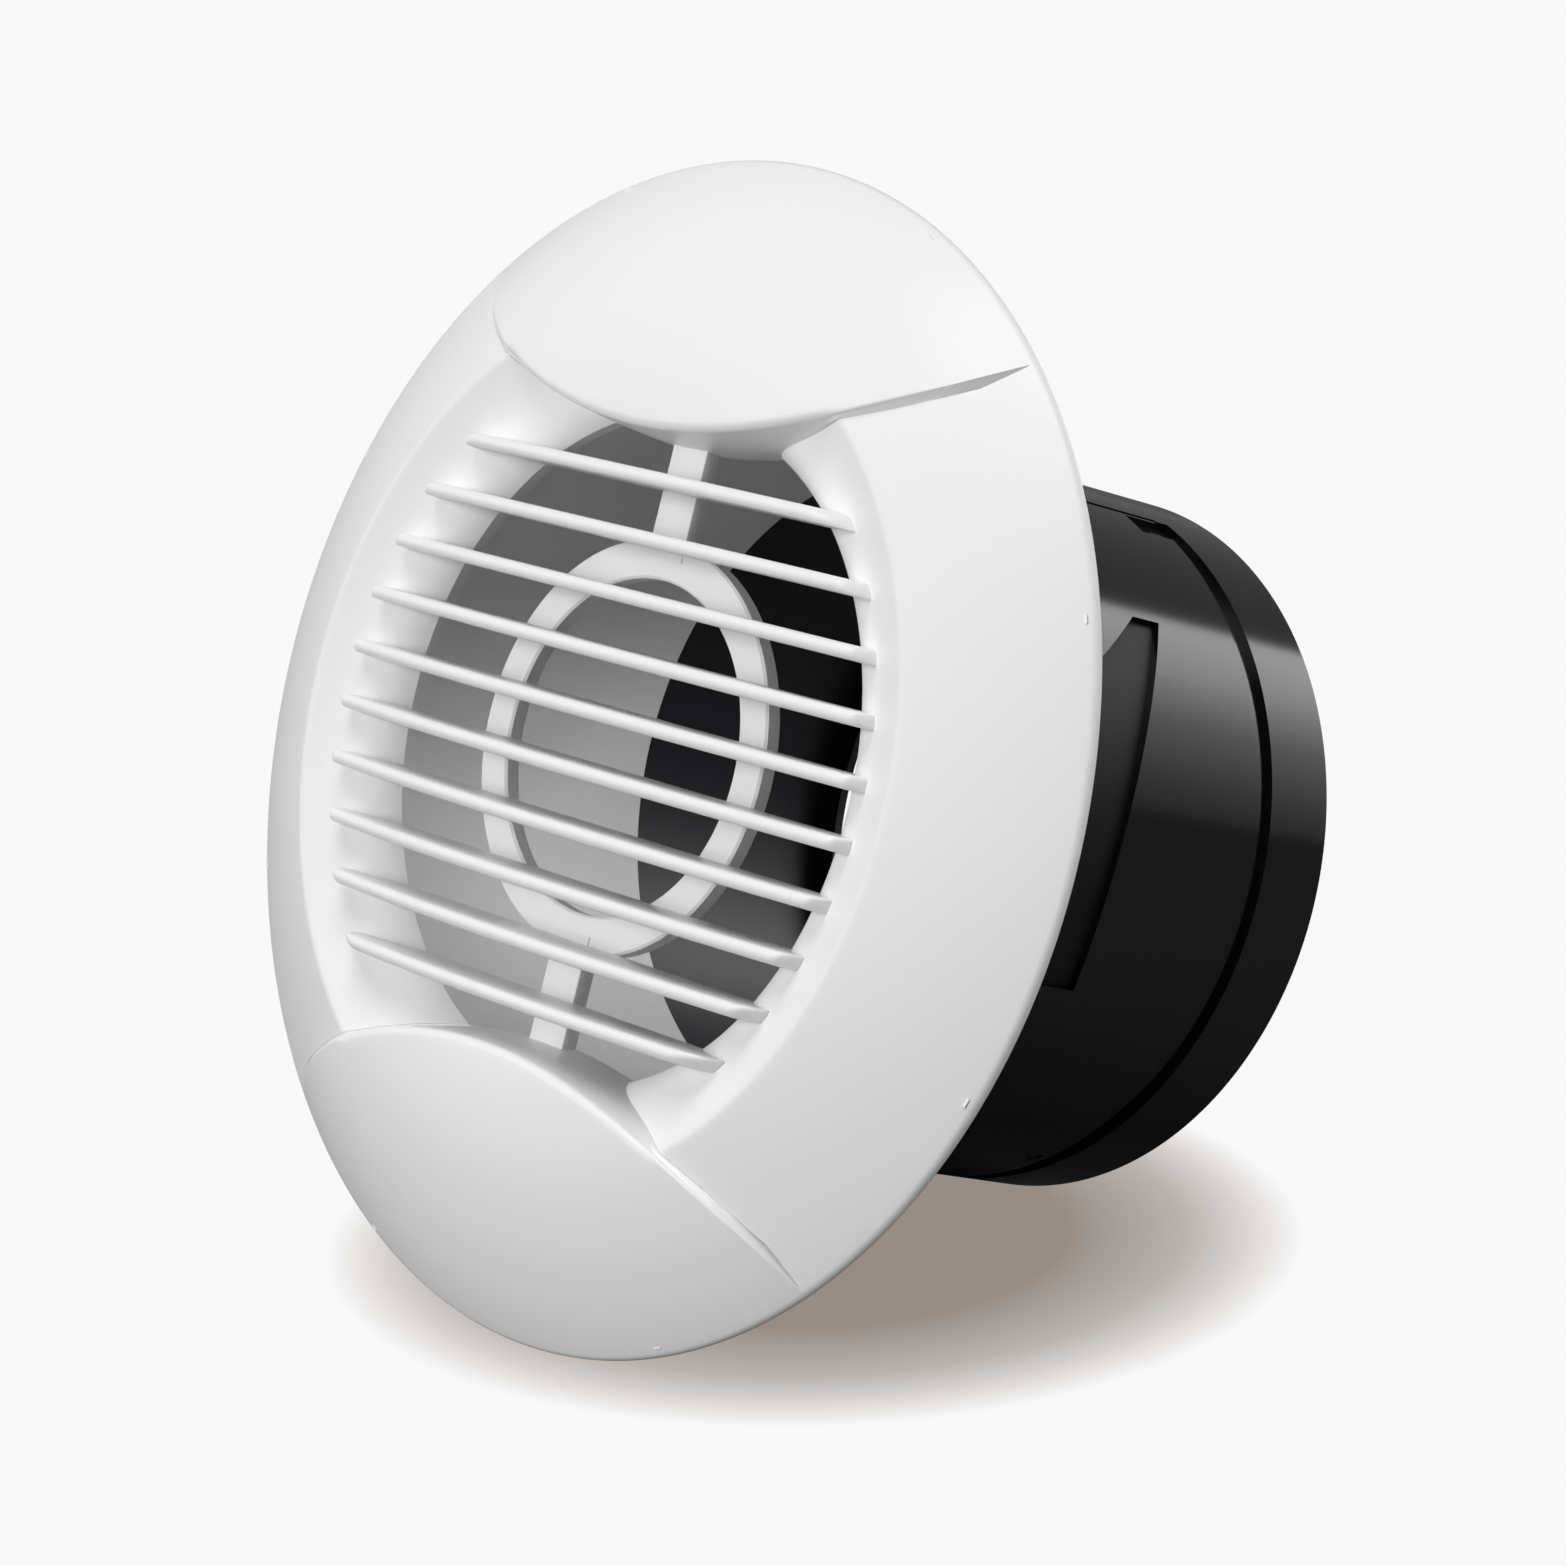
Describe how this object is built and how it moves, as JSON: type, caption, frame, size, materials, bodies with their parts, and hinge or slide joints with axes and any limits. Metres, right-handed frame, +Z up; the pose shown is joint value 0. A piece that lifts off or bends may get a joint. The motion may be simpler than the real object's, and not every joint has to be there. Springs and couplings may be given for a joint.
{
  "type": "round vent grille",
  "caption": "Round louvred vent grille with a domed front, raised fields above and below the slats, and a cylindrical duct sleeve behind.",
  "frame": {"origin": "on the duct axis, in the plane of the front panel's rear rim, which is the plane of the wall it is fixed to", "axes": "+Y along the duct axis into the wall, so the louvres face -Y; +Z up as the grille hangs on a wall; +X to the right seen from the front"},
  "size_m": [0.2, 0.1237, 0.2],
  "materials": {
    "white_plastic": "white moulded plastic, satin to glossy",
    "black_plastic": "black moulded plastic, glossy"
  },
  "bodies": {
    "root": {"front_panel": "white_plastic", "sleeve": "black_plastic"}
  },
  "joints": []
}
